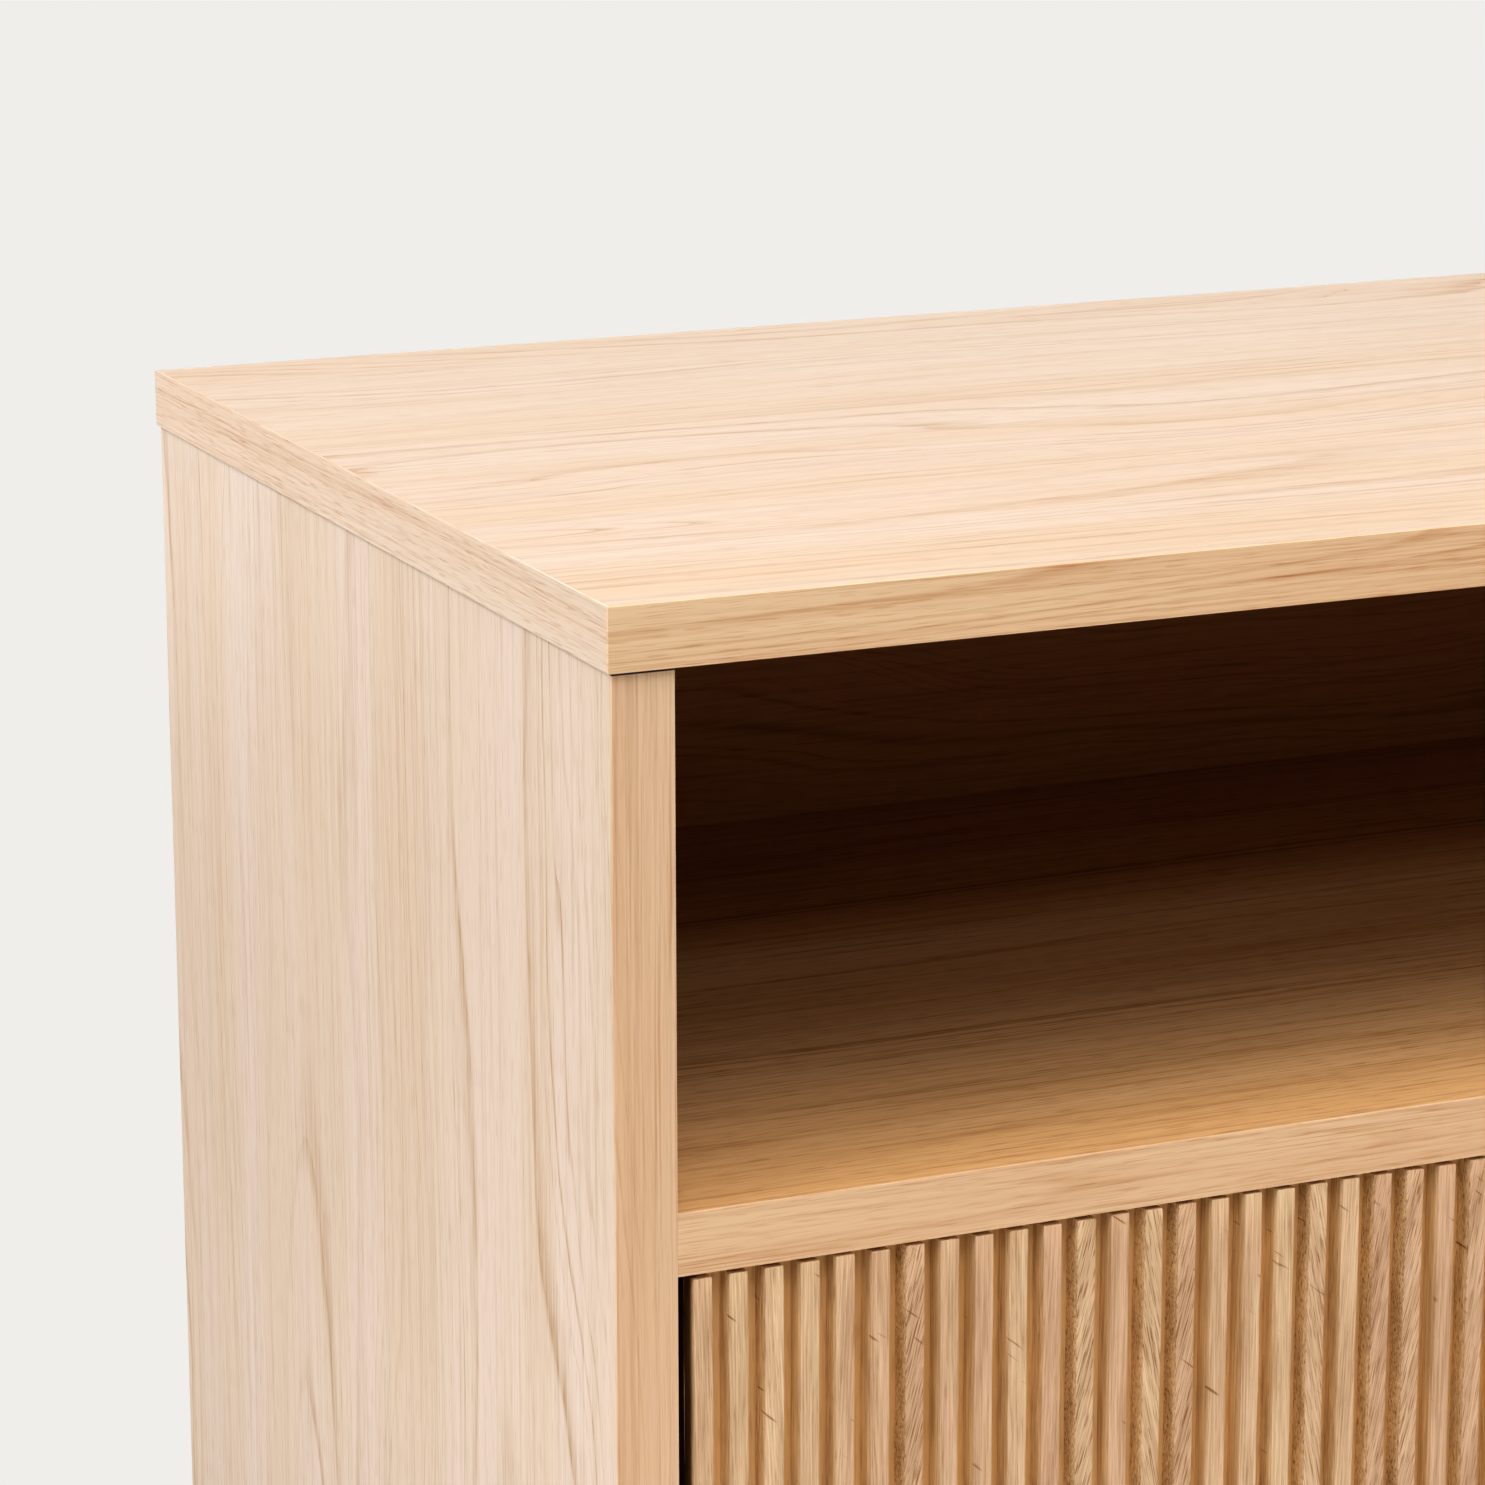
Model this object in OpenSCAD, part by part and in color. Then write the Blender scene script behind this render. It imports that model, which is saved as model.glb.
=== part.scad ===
// Media cabinet: a long, low cabinet in veneered board, with an open compartment under the
// top and four slatted doors below it.
// Origin: the centre of the footprint, on the floor. X is the width, the front faces -Y and
// Z is up. All sizes are in millimetres.

/* [Overall size] */
// Width over the top board
cab_w = 1600; // [1300:10:2000]
// Depth over the top board
cab_d = 395; // [330:5:480]
// Height from the floor to the top surface
cab_h = 550; // [460:5:700]
// Thickness of the carcass boards
board_t = 18; // [16:0.5:22]

/* [Carcass] */
// Clear height of the open compartment
open_h = 152; // [120:1:200]
// Height of the bottom board's underside above the floor
base_h = 60; // [50:1:80]
// How far the top board stands out past the sides and the front
top_lap = 1.5; // [0:0.5:5]
// Thickness of the edge strips
band_t = 1; // [0.5:0.1:2]
// How far the plinth sits back from the front
plinth_inset = 40; // [20:1:60]
// How far the rear plinth sits in from the rear edges
plinth_rear_in = 17.5; // [16:0.5:60]
// Height of the floor glides
glide_h = 3; // [2:0.5:6]
// Radius of the floor glides
glide_r = 8; // [6:0.5:8]
// Distance of the front glides from the front of the sides
glide_front_in = 26; // [20:1:30]
// Distance of the rear glides from the back of the sides
glide_rear_in = 60; // [50:1:80]
// Distance of the middle glides from the ends of the plinth's stretcher
glide_middle_in = 40; // [30:1:60]

/* [Back] */
// Thickness of the two back panels
back_t = 5; // [4:0.5:8]
// How far the back panels sit in from the rear edges
back_inset = 15.5; // [12:0.5:20]
// Depth of the grooves that hold the back panels
groove_depth = 6; // [4:0.5:8]
// Inner radius of the cable outlets
outlet_r = 27; // [20:1:32]
// Distance of the cable outlets from the middle of the cabinet
outlet_x = 95; // [70:5:160]
// Height of the cable outlets above the board under them
outlet_up = 50; // [45:1:60]
// Width of the batten behind the joint of the two panels
batten_w = 40; // [30:1:60]
// Thickness of that batten
batten_t = 10; // [6:0.5:12]

/* [Doors] */
// Thickness of the door boards
door_t = 13; // [11:0.5:16]
// Gap beside each door
door_gap = 4.5; // [3.5:0.5:6]
// Gap over the doors
door_top_gap = 1; // [1:0.1:3]
// Gap under the doors
door_bottom_gap = 2; // [1:0.1:4]
// Width of a slat
slat_w = 5.75; // [4.5:0.25:8]
// How far the slats stand out from the door board
slat_h = 7; // [4:0.5:9]
// Distance from slat to slat, before it is rounded to fill the door
slat_pitch = 10.66; // [9:0.01:14]
// Chamfer on the slats' front edges
slat_chamfer = 0.6; // [0.2:0.1:1]

/* [Door fittings] */
// Radius of the doors' pivot pins
pin_r = 3; // [2.5:0.25:4]
// Radius of the nylon bushes that the pins turn in
bush_r = 5; // [4.5:0.25:7]
// Radius of a push latch's plunger
plunger_r = 4; // [3:0.25:5]
// Length of a push latch's tube
latch_len = 60; // [50:1:80]
// Distance of a push latch from the free edge of its door
latch_in = 25; // [20:1:60]

/* [Board joints] */
// Radius of the cam housings
cam_r = 7.5; // [6:0.5:8]
// Distance of the cams from the end of their board
cam_in = 24; // [20:1:34]
// Distance of the outer cams from the front and back edges of their board
cam_edge_in = 64; // [50:1:90]
// Radius of the dowels
dowel_r = 4; // [3:0.5:4]
// Distance of the outer dowels from the front and back edges of their board
dowel_edge_in = 30; // [24:1:36]
// Distance of the upper divider's two foot dowels from the middle of its depth
foot_dowel_y = 60; // [40:1:80]
// Distance of the plinth's dowels from its upper and lower edges
plinth_dowel_in = 12; // [8:1:14]
// Screws through each back panel into the shelf
panel_screw_count = 3; // [2:1:6]
// Distance of the batten's screws from the ends of the dividers
batten_screw_in = 30; // [20:1:40]

/* [Hidden] */
$fn = 48;

// Clearances: a fixed piece in its hole, a turning pin or sliding plunger, a moving gap
fit = 0.05;
run_fit = 0.06;
moving_gap = 0.3;

// Planes of the carcass, from the outside in
half_w = cab_w / 2;
half_d = cab_d / 2;
side_x = half_w - top_lap;
inner_x = side_x - board_t;
half_t = board_t / 2;
front_y = -half_d + top_lap;
board_y = front_y + band_t;
back_out_y = half_d - back_inset;
back_in_y = back_out_y - back_t;

// Levels
top_z = cab_h - board_t;
shelf_top_z = top_z - open_h;
shelf_z = shelf_top_z - board_t;
bottom_top_z = base_h + board_t;
plinth_mid_z = (base_h + glide_h) / 2;

// Plinth boards, by the Y of their outer faces
plinth_front_y = front_y + plinth_inset;
plinth_rear_y = half_d - plinth_rear_in;

// Doors: two to a bay, each turning on pins at its outer or divider edge
bay_w = inner_x - half_t;
door_w = (bay_w - 3 * door_gap) / 2;
door_z = bottom_top_z + door_bottom_gap;
door_h = shelf_z - door_top_gap - door_z;
door_back_y = front_y + slat_h + door_t;
slat_gaps = round((door_w - slat_w) / slat_pitch);
slat_step = (door_w - slat_w) / slat_gaps;
hinge_x = [-inner_x + door_gap, -half_t - door_gap, half_t + door_gap, inner_x - door_gap];
opens_right = [false, true, false, true];

// The pin sits in the middle of the door board, far enough in for the door's front corner
// to swing past the board beside it
swing_gap = door_gap - 0.6;
pin_back = slat_h + door_t / 2;
pin_in = (pin_back * pin_back - swing_gap * swing_gap) / (2 * swing_gap);
pin_y = front_y + pin_back;
pin_hold = 32;
pin_reach = 9;
bush_len = 11;
bush_flange_r = bush_r + 2;

// Push latches, one behind the free edge of each door
latch_plate_t = 2;
latch_end_t = 4;
spring_room = 14;
latch_tube_r = plunger_r + 2;
latch_z = shelf_z - latch_plate_t - latch_tube_r;
latch_screw_x = latch_tube_r + 5;
strike_t = 1;
strike_y = door_back_y + strike_t;
tip_t = 3;
tip_y = strike_y + moving_gap;
latch_y = tip_y + tip_t + moving_gap;
plunger_len = latch_len - latch_end_t - spring_room;

// Joints between boards: bolts with cams, and dowels, at these places along the depth
cam_y = [board_y + cam_edge_in, back_in_y - cam_edge_in];
dowel_y = [board_y + dowel_edge_in, 0, back_in_y - dowel_edge_in];
foot_y = [-foot_dowel_y, foot_dowel_y];
plinth_dowel_z = (base_h - glide_h) / 2 - plinth_dowel_in;
plinth_dowels = [-plinth_dowel_z, plinth_dowel_z];
bolt_hold = 11;
bolt_thread_r = 2.5;
bolt_shank_r = 2;
bolt_head_r = 3;
bolt_collar_r = 3.3;
bolt_bore_r = 3.5;
cam_depth = half_t + bolt_bore_r;
cam_pocket_r = bolt_head_r + 0.3;
dowel_face = 12;
dowel_edge = 18;

// Each joint: the point where the two boards meet, the turn that carries Z into the board
// with the cams and X to their open side, the cams' places and the dowels' places
side_top = [[-side_x + half_t, 0, top_z], [180, 0, 0], cam_y, dowel_y];
side_shelf = [[-inner_x, 0, shelf_z + half_t], [0, 90, 0], cam_y, dowel_y];
side_bottom = [[-inner_x, 0, base_h + half_t], [0, 90, 0], cam_y, dowel_y];
upper_top = [[0, 0, top_z], [180, 0, 0], cam_y, dowel_y];
upper_shelf = [[0, 0, shelf_top_z], [0, 0, 0], [], foot_y];
lower_shelf = [[0, 0, shelf_z], [180, 0, 0], cam_y, dowel_y];
lower_bottom = [[0, 0, bottom_top_z], [0, 0, 0], cam_y, dowel_y];
side_front_plinth = [[-inner_x, plinth_front_y + half_t, plinth_mid_z], [90, 0, 90],
    [0], plinth_dowels];
side_rear_plinth = [[-inner_x, plinth_rear_y - half_t, plinth_mid_z], [-90, 0, -90],
    [0], plinth_dowels];
front_stretcher = [[0, plinth_front_y + board_t, plinth_mid_z], [90, 0, 180],
    [], plinth_dowels];
rear_stretcher = [[0, plinth_rear_y - board_t, plinth_mid_z], [90, 0, 0],
    [], plinth_dowels];
SIDE_JOINTS = [side_top, side_shelf, side_bottom, side_front_plinth, side_rear_plinth];
MIDDLE_JOINTS = [upper_top, upper_shelf, lower_shelf, lower_bottom,
    front_stretcher, rear_stretcher];

// Screws: those of the dividers stand beside the joint of the two back panels
screw_r = 1.75;
screw_head_r = 3.5;
screw_head_t = 1.5;
panel_screw_len = 25;
latch_screw_len = 14;
batten_screw_x = half_t / 2;
batten_screw_len = batten_t + back_t + 20;
batten_screw_z = [bottom_top_z + batten_screw_in, shelf_z - batten_screw_in,
    shelf_top_z + batten_screw_in, top_z - batten_screw_in];
panel_screw_x = [for (index = [1:panel_screw_count])
    -(index - 0.5) / panel_screw_count * inner_x];

// Cable outlets
outlet_z = [bottom_top_z + outlet_up, shelf_top_z + outlet_up];
outlet_hole_r = outlet_r + 3;
outlet_flange_r = outlet_hole_r + 5;
outlet_flange_t = 2;
outlet_tail = 6;

// Glides: each has a nail that holds it
glide_nail_r = 1.2;
glide_nail_len = 14;
glide_y = [board_y + glide_front_in, half_d - glide_rear_in];
stretcher_glide_y = [plinth_front_y + board_t + glide_middle_in,
    plinth_rear_y - board_t - glide_middle_in];

// ---- Helpers ----

// A box between two corners
module block(low, high) {
    translate(low) cube(high - low);
}

// Its children, and their mirror image in the cabinet's middle plane
module both_sides() {
    children();
    mirror([1, 0, 0]) children();
}

// Its children in the frame of a joint
module at_joint(joint) {
    translate(joint[0]) rotate(joint[1]) children();
}

// The holes of a joint: threads, edge bores, cam pockets and dowel bores
module joint_holes(joint) {
    at_joint(joint) {
        for (y = joint[2]) translate([0, y, 0]) {
            translate([0, 0, -bolt_hold]) cylinder(r = bolt_thread_r + fit, h = bolt_hold);
            cylinder(r = bolt_bore_r, h = cam_in);
            translate([half_t - cam_depth, 0, cam_in]) rotate([0, 90, 0])
                cylinder(r = cam_r, h = cam_depth);
        }
        for (y = joint[3]) translate([0, y, -dowel_face])
            cylinder(r = dowel_r, h = dowel_face + dowel_edge);
    }
}

// The bolts of a joint, each with a thread, a collar, a shank and a head
module joint_bolts(joint) {
    at_joint(joint) for (y = joint[2]) translate([0, y, 0]) {
        translate([0, 0, -bolt_hold]) cylinder(r = bolt_thread_r, h = bolt_hold);
        cylinder(r = bolt_collar_r, h = 2);
        cylinder(r = bolt_shank_r, h = cam_in + 1);
        translate([0, 0, cam_in - 3]) cylinder(r = bolt_head_r, h = 4);
    }
}

// The cams of a joint, each with the pocket that holds a bolt's head and a cross slot
module joint_cams(joint) {
    at_joint(joint) for (y = joint[2]) translate([half_t - cam_depth, y, cam_in]) difference() {
        rotate([0, 90, 0]) cylinder(r = cam_r - fit, h = cam_depth);
        translate([bolt_bore_r, 0, -cam_r]) cylinder(r = cam_pocket_r, h = cam_r + 1);
        for (turn = [0, 90]) translate([cam_depth, 0, 0]) rotate([turn, 0, 0])
            cube([3, 1.6, 8], center = true);
    }
}

// The dowels of a joint
module joint_dowels(joint) {
    at_joint(joint) for (y = joint[3]) translate([0, y, -dowel_face])
        cylinder(r = dowel_r - fit, h = dowel_face + dowel_edge);
}

// A pan-head screw with its head's underside at the origin, pointing along +Z
module screw(length) {
    translate([0, 0, -screw_head_t]) cylinder(r = screw_head_r, h = screw_head_t);
    cylinder(r = screw_r, h = length);
}

// The hole of a screw
module screw_hole(length) {
    cylinder(r = screw_r + fit, h = length);
}

// Its children at each screw through a back panel into the shelf, pointing forwards
module at_panel_screws() {
    both_sides() for (x = panel_screw_x)
        translate([x, back_out_y, shelf_z + half_t]) rotate([90, 0, 0]) children();
}

// Its children at each screw through the batten into the dividers, pointing forwards
module at_batten_screws() {
    for (z = batten_screw_z)
        translate([batten_screw_x, back_out_y + batten_t, z]) rotate([90, 0, 0]) children();
}

// Its children at each cable outlet, pointing backwards from the panel's inner face
module at_outlets() {
    both_sides() for (z = outlet_z)
        translate([-outlet_x, back_in_y, z]) rotate([-90, 0, 0]) children();
}

// Its children on one door: its hinge edge is X = 0, it runs to +X, and Z = 0 is its foot
module at_door(number) {
    translate([hinge_x[number - 1], 0, door_z])
        mirror([opens_right[number - 1] ? 1 : 0, 0, 0]) children();
}

// Its children at each door's latch, at the front of the tube, pointing backwards
module at_latch(number) {
    at_door(number) translate([door_w - latch_in, latch_y, latch_z - door_z])
        rotate([-90, 0, 0]) children();
}

// Its children at the two screws of each latch, pointing up into the shelf
module at_latch_screws(number) {
    at_latch(number) for (x = [-latch_screw_x, latch_screw_x])
        translate([x, -latch_tube_r, latch_len / 2]) rotate([90, 0, 0]) children();
}

// Its children where each pin meets the shelf, pointing up, and the bottom, pointing down
module at_pins(number) {
    at_door(number) {
        translate([pin_in, pin_y, shelf_z - door_z]) children();
        translate([pin_in, pin_y, bottom_top_z - door_z]) rotate([180, 0, 0]) children();
    }
}

// The sockets that the bushes of all doors sit in
module bush_sockets() {
    for (number = [1:4]) at_pins(number) cylinder(r = bush_r + fit, h = bush_len);
}

// ---- Top ----

module top_panel() {
    color("burlywood") difference() {
        block([-half_w + band_t, -half_d + band_t, top_z], [half_w - band_t, half_d, cab_h]);
        both_sides() joint_holes(side_top);
        joint_holes(upper_top);
        block([-inner_x - groove_depth, back_in_y, top_z - 1],
            [inner_x + groove_depth, back_out_y, top_z + groove_depth]);
    }
}

module top_front_edge() {
    color("tan") block([-half_w, -half_d, top_z], [half_w, -half_d + band_t, cab_h]);
}

module top_left_edge() {
    color("tan") block([-half_w, -half_d + band_t, top_z], [-half_w + band_t, half_d, cab_h]);
}

module top_right_edge() {
    mirror([1, 0, 0]) top_left_edge();
}

// ---- Sides ----

module left_side_panel() {
    color("burlywood") difference() {
        block([-side_x, board_y, glide_h], [-inner_x, half_d, top_z]);
        for (joint = SIDE_JOINTS) joint_holes(joint);
        block([-inner_x - groove_depth, back_in_y, 0], [-inner_x + 1, back_out_y, top_z + 1]);
        for (y = glide_y) translate([-side_x + half_t, y, 0]) glide_hole();
    }
}

module right_side_panel() {
    mirror([1, 0, 0]) left_side_panel();
}

module left_side_edge() {
    color("tan") block([-side_x, front_y, glide_h], [-inner_x, board_y, top_z]);
}

module right_side_edge() {
    mirror([1, 0, 0]) left_side_edge();
}

// ---- Shelf and bottom ----

module middle_shelf() {
    color("burlywood") difference() {
        block([-inner_x, board_y, shelf_z], [inner_x, back_in_y, shelf_top_z]);
        both_sides() joint_holes(side_shelf);
        joint_holes(upper_shelf);
        joint_holes(lower_shelf);
        bush_sockets();
        at_panel_screws() screw_hole(panel_screw_len);
        for (number = [1:4]) at_latch_screws(number) screw_hole(latch_screw_len);
    }
}

module middle_shelf_edge() {
    color("tan") block([-inner_x, front_y, shelf_z], [inner_x, board_y, shelf_top_z]);
}

module bottom_panel() {
    color("burlywood") difference() {
        block([-inner_x, board_y, base_h], [inner_x, half_d, bottom_top_z]);
        both_sides() joint_holes(side_bottom);
        joint_holes(lower_bottom);
        bush_sockets();
        block([-inner_x - 1, back_in_y, bottom_top_z - groove_depth],
            [inner_x + 1, back_out_y, bottom_top_z + 1]);
    }
}

module bottom_panel_edge() {
    color("tan") block([-inner_x, front_y, base_h], [inner_x, board_y, bottom_top_z]);
}

// ---- Dividers ----

module upper_divider() {
    color("burlywood") difference() {
        block([-half_t, board_y, shelf_top_z], [half_t, back_in_y, top_z]);
        joint_holes(upper_top);
        joint_holes(upper_shelf);
        at_batten_screws() screw_hole(batten_screw_len);
    }
}

module upper_divider_edge() {
    color("tan") block([-half_t, front_y, shelf_top_z], [half_t, board_y, top_z]);
}

module lower_divider() {
    color("burlywood") difference() {
        block([-half_t, board_y, bottom_top_z], [half_t, back_in_y, shelf_z]);
        joint_holes(lower_shelf);
        joint_holes(lower_bottom);
        at_batten_screws() screw_hole(batten_screw_len);
    }
}

module lower_divider_edge() {
    color("tan") block([-half_t, front_y, bottom_top_z], [half_t, board_y, shelf_z]);
}

// ---- Back ----

// One back panel, standing in the grooves with half a millimetre to spare at their floors
module left_back_panel() {
    color("peru") difference() {
        block([-inner_x - groove_depth + 0.5, back_in_y, bottom_top_z - groove_depth + 0.5],
            [0, back_out_y, top_z + groove_depth - 0.5]);
        at_outlets() cylinder(r = outlet_hole_r, h = back_t);
        at_panel_screws() screw_hole(panel_screw_len);
    }
}

module right_back_panel() {
    color("peru") difference() {
        mirror([1, 0, 0]) left_back_panel();
        at_batten_screws() screw_hole(batten_screw_len);
    }
}

module back_batten() {
    color("peru") difference() {
        block([-batten_w / 2, back_out_y, bottom_top_z],
            [batten_w / 2, back_out_y + batten_t, top_z]);
        at_batten_screws() screw_hole(batten_screw_len);
    }
}

// Flanged sleeves that line the cable outlets
module cable_grommets() {
    sleeve_r = outlet_hole_r - fit;
    tail = back_t + outlet_tail;
    color("dimgray") at_outlets() rotate_extrude() polygon([
        [outlet_r, -outlet_flange_t], [outlet_flange_r - 1, -outlet_flange_t],
        [outlet_flange_r, 1 - outlet_flange_t], [outlet_flange_r, 0],
        [sleeve_r, 0], [sleeve_r, tail], [outlet_r, tail]
    ]);
}

// ---- Base ----

module front_plinth() {
    color("burlywood") difference() {
        block([-inner_x, plinth_front_y, glide_h], [inner_x, plinth_front_y + board_t, base_h]);
        both_sides() joint_holes(side_front_plinth);
        joint_holes(front_stretcher);
    }
}

module rear_plinth() {
    color("burlywood") difference() {
        block([-inner_x, plinth_rear_y - board_t, glide_h], [inner_x, plinth_rear_y, base_h]);
        both_sides() joint_holes(side_rear_plinth);
        joint_holes(rear_stretcher);
    }
}

module plinth_stretcher() {
    color("burlywood") difference() {
        block([-half_t, plinth_front_y + board_t, glide_h],
            [half_t, plinth_rear_y - board_t, base_h]);
        joint_holes(front_stretcher);
        joint_holes(rear_stretcher);
        for (y = stretcher_glide_y) translate([0, y, 0]) glide_hole();
    }
}

// A nail-on glide, standing on the floor
module glide() {
    rotate_extrude() polygon([
        [0, 0], [glide_r - 0.8, 0], [glide_r, 0.8], [glide_r, glide_h], [glide_nail_r, glide_h],
        [glide_nail_r, glide_h + glide_nail_len], [0, glide_h + glide_nail_len]
    ]);
}

// The hole of a glide's nail
module glide_hole() {
    cylinder(r = glide_nail_r + fit, h = glide_h + glide_nail_len);
}

module floor_glides() {
    color("gray") {
        both_sides() for (y = glide_y) translate([-side_x + half_t, y, 0]) glide();
        for (y = stretcher_glide_y) translate([0, y, 0]) glide();
    }
}

// ---- Fasteners ----

module cam_bolts() {
    color("silver") {
        both_sides() for (joint = SIDE_JOINTS) joint_bolts(joint);
        for (joint = MIDDLE_JOINTS) joint_bolts(joint);
    }
}

module cam_housings() {
    color("darkgray") {
        both_sides() for (joint = SIDE_JOINTS) joint_cams(joint);
        for (joint = MIDDLE_JOINTS) joint_cams(joint);
    }
}

module dowels() {
    color("wheat") {
        both_sides() for (joint = SIDE_JOINTS) joint_dowels(joint);
        for (joint = MIDDLE_JOINTS) joint_dowels(joint);
    }
}

module back_panel_screws() {
    color("silver") at_panel_screws() screw(panel_screw_len);
}

module batten_screws() {
    color("silver") at_batten_screws() screw(batten_screw_len);
}

module latch_screws() {
    color("silver") for (number = [1:4]) at_latch_screws(number) screw(latch_screw_len);
}

// ---- Door fittings ----

// A flanged nylon bush in its socket; its flange fills most of the gap at the door
module bush(gap) {
    difference() {
        union() {
            cylinder(r = bush_r, h = bush_len);
            translate([0, 0, moving_gap - gap]) cylinder(r = bush_flange_r, h = gap - moving_gap);
        }
        translate([0, 0, moving_gap - gap])
            cylinder(r = pin_r + run_fit, h = pin_reach + 1 + gap - moving_gap);
    }
}

module pivot_bushes() {
    color("whitesmoke") for (number = [1:4]) at_door(number) translate([pin_in, pin_y, 0]) {
        translate([0, 0, shelf_z - door_z]) bush(door_top_gap);
        translate([0, 0, -door_bottom_gap]) rotate([180, 0, 0]) bush(door_bottom_gap);
    }
}

// A push latch: a tube for the plunger under a plate that is screwed to the shelf
module latch_housings() {
    color("lightgray") for (number = [1:4]) difference() {
        at_latch(number) {
            cylinder(r = latch_tube_r, h = latch_len);
            translate([-latch_tube_r, -latch_tube_r, 0])
                cube([2 * latch_tube_r, latch_tube_r, latch_len]);
            translate([-latch_screw_x - 5, -latch_tube_r - latch_plate_t, 8])
                cube([2 * latch_screw_x + 10, latch_plate_t, latch_len - 16]);
        }
        at_latch(number) cylinder(r = plunger_r + run_fit, h = latch_len - latch_end_t);
        at_latch_screws(number) screw_hole(latch_screw_len);
    }
}

// The plunger, with the broad tip that rests by the door's strike
module latch_plunger(number) {
    color("white") at_latch(number) {
        translate([0, 0, -tip_t - moving_gap]) cylinder(r = plunger_r + 1, h = tip_t);
        translate([0, 0, -moving_gap]) cylinder(r = plunger_r, h = moving_gap + plunger_len);
    }
}

// ---- Doors ----

// Door board, with blind bores for its two pins and for the strike's spigot
module door_board(number) {
    color("sienna") difference() {
        at_door(number) block([0, front_y + slat_h, 0], [door_w, door_back_y, door_h]);
        at_pins(number) translate([0, 0, -pin_hold]) cylinder(r = pin_r + fit, h = pin_hold);
        strike_spigot(number, 2 + fit);
    }
}

// The strike's spigot, as a solid of the given radius
module strike_spigot(number, radius) {
    at_door(number) translate([door_w - latch_in, door_back_y, latch_z - door_z])
        rotate([90, 0, 0]) cylinder(r = radius, h = 8);
}

// The slats, with chamfered front edges and ends
module door_slats(number) {
    front = front_y;
    root = front_y + slat_h;
    c = slat_chamfer;
    color("burlywood") at_door(number) intersection() {
        for (index = [0:slat_gaps]) translate([index * slat_step, 0, 0])
            linear_extrude(door_h) polygon([
                [0, root], [0, front + c], [c, front],
                [slat_w - c, front], [slat_w, front + c], [slat_w, root]
            ]);
        translate([-1, 0, 0]) rotate([90, 0, 90]) linear_extrude(door_w + 2) polygon([
            [root, 0], [front + c, 0], [front, c],
            [front, door_h - c], [front + c, door_h], [root, door_h]
        ]);
    }
}

// The steel pins at the door's top and foot
module door_pins(number) {
    color("silver") at_pins(number) translate([0, 0, -pin_hold])
        cylinder(r = pin_r, h = pin_hold + pin_reach);
}

// The steel disc that the latch holds and pushes, with its spigot in the door board
module door_strike(number) {
    color("silver") {
        strike_spigot(number, 2);
        at_door(number) translate([door_w - latch_in, strike_y, latch_z - door_z])
            rotate([90, 0, 0]) cylinder(r = plunger_r + 2, h = strike_t);
    }
}

// ---- The cabinet ----

top_panel();
top_front_edge();
top_left_edge();
top_right_edge();
left_side_panel();
right_side_panel();
left_side_edge();
right_side_edge();
middle_shelf();
middle_shelf_edge();
bottom_panel();
bottom_panel_edge();
upper_divider();
upper_divider_edge();
lower_divider();
lower_divider_edge();
left_back_panel();
right_back_panel();
back_batten();
front_plinth();
rear_plinth();
plinth_stretcher();
floor_glides();
cable_grommets();
cam_bolts();
cam_housings();
dowels();
back_panel_screws();
batten_screws();
latch_screws();
pivot_bushes();
latch_housings();
door_board(1);  // door_1_board
door_board(2);  // door_2_board
door_board(3);  // door_3_board
door_board(4);  // door_4_board
door_slats(1);  // door_1_slats
door_slats(2);  // door_2_slats
door_slats(3);  // door_3_slats
door_slats(4);  // door_4_slats
door_pins(1);  // door_1_pins
door_pins(2);  // door_2_pins
door_pins(3);  // door_3_pins
door_pins(4);  // door_4_pins
door_strike(1);  // door_1_strike
door_strike(2);  // door_2_strike
door_strike(3);  // door_3_strike
door_strike(4);  // door_4_strike
latch_plunger(1);  // latch_1_plunger
latch_plunger(2);  // latch_2_plunger
latch_plunger(3);  // latch_3_plunger
latch_plunger(4);  // latch_4_plunger
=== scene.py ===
"""Media cabinet of oak veneered boards with slatted doors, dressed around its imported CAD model."""

import math
import random

import bmesh
import bpy
from bpy.props import (
    FloatProperty,
    FloatVectorProperty,
    IntProperty,
    PointerProperty,
)
from bpy.types import Operator, Panel, PropertyGroup
from mathutils import Matrix, Vector


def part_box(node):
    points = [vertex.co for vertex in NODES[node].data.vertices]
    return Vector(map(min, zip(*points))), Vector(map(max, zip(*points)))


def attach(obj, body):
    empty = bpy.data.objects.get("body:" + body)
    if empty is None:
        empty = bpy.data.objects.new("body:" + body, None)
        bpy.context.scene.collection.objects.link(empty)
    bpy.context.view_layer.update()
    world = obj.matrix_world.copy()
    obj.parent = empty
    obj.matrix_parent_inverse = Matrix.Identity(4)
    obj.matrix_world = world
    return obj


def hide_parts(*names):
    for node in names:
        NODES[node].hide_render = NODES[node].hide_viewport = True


bl_info = {
    "name": "Media Cabinet",
    "version": (1, 0, 0),
    "blender": (4, 5, 0),
    "location": "View3D > Sidebar > Cabinet",
    "description": "Finishes, slats and a studio for a media cabinet",
    "category": "Object",
}

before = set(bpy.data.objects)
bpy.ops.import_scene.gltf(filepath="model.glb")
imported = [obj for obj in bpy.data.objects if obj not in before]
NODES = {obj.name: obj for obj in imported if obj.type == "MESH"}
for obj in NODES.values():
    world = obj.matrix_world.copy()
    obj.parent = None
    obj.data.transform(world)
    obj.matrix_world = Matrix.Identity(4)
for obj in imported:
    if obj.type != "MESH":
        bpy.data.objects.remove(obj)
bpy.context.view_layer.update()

MM = 0.001
DOORS = (1, 2, 3, 4)


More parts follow.
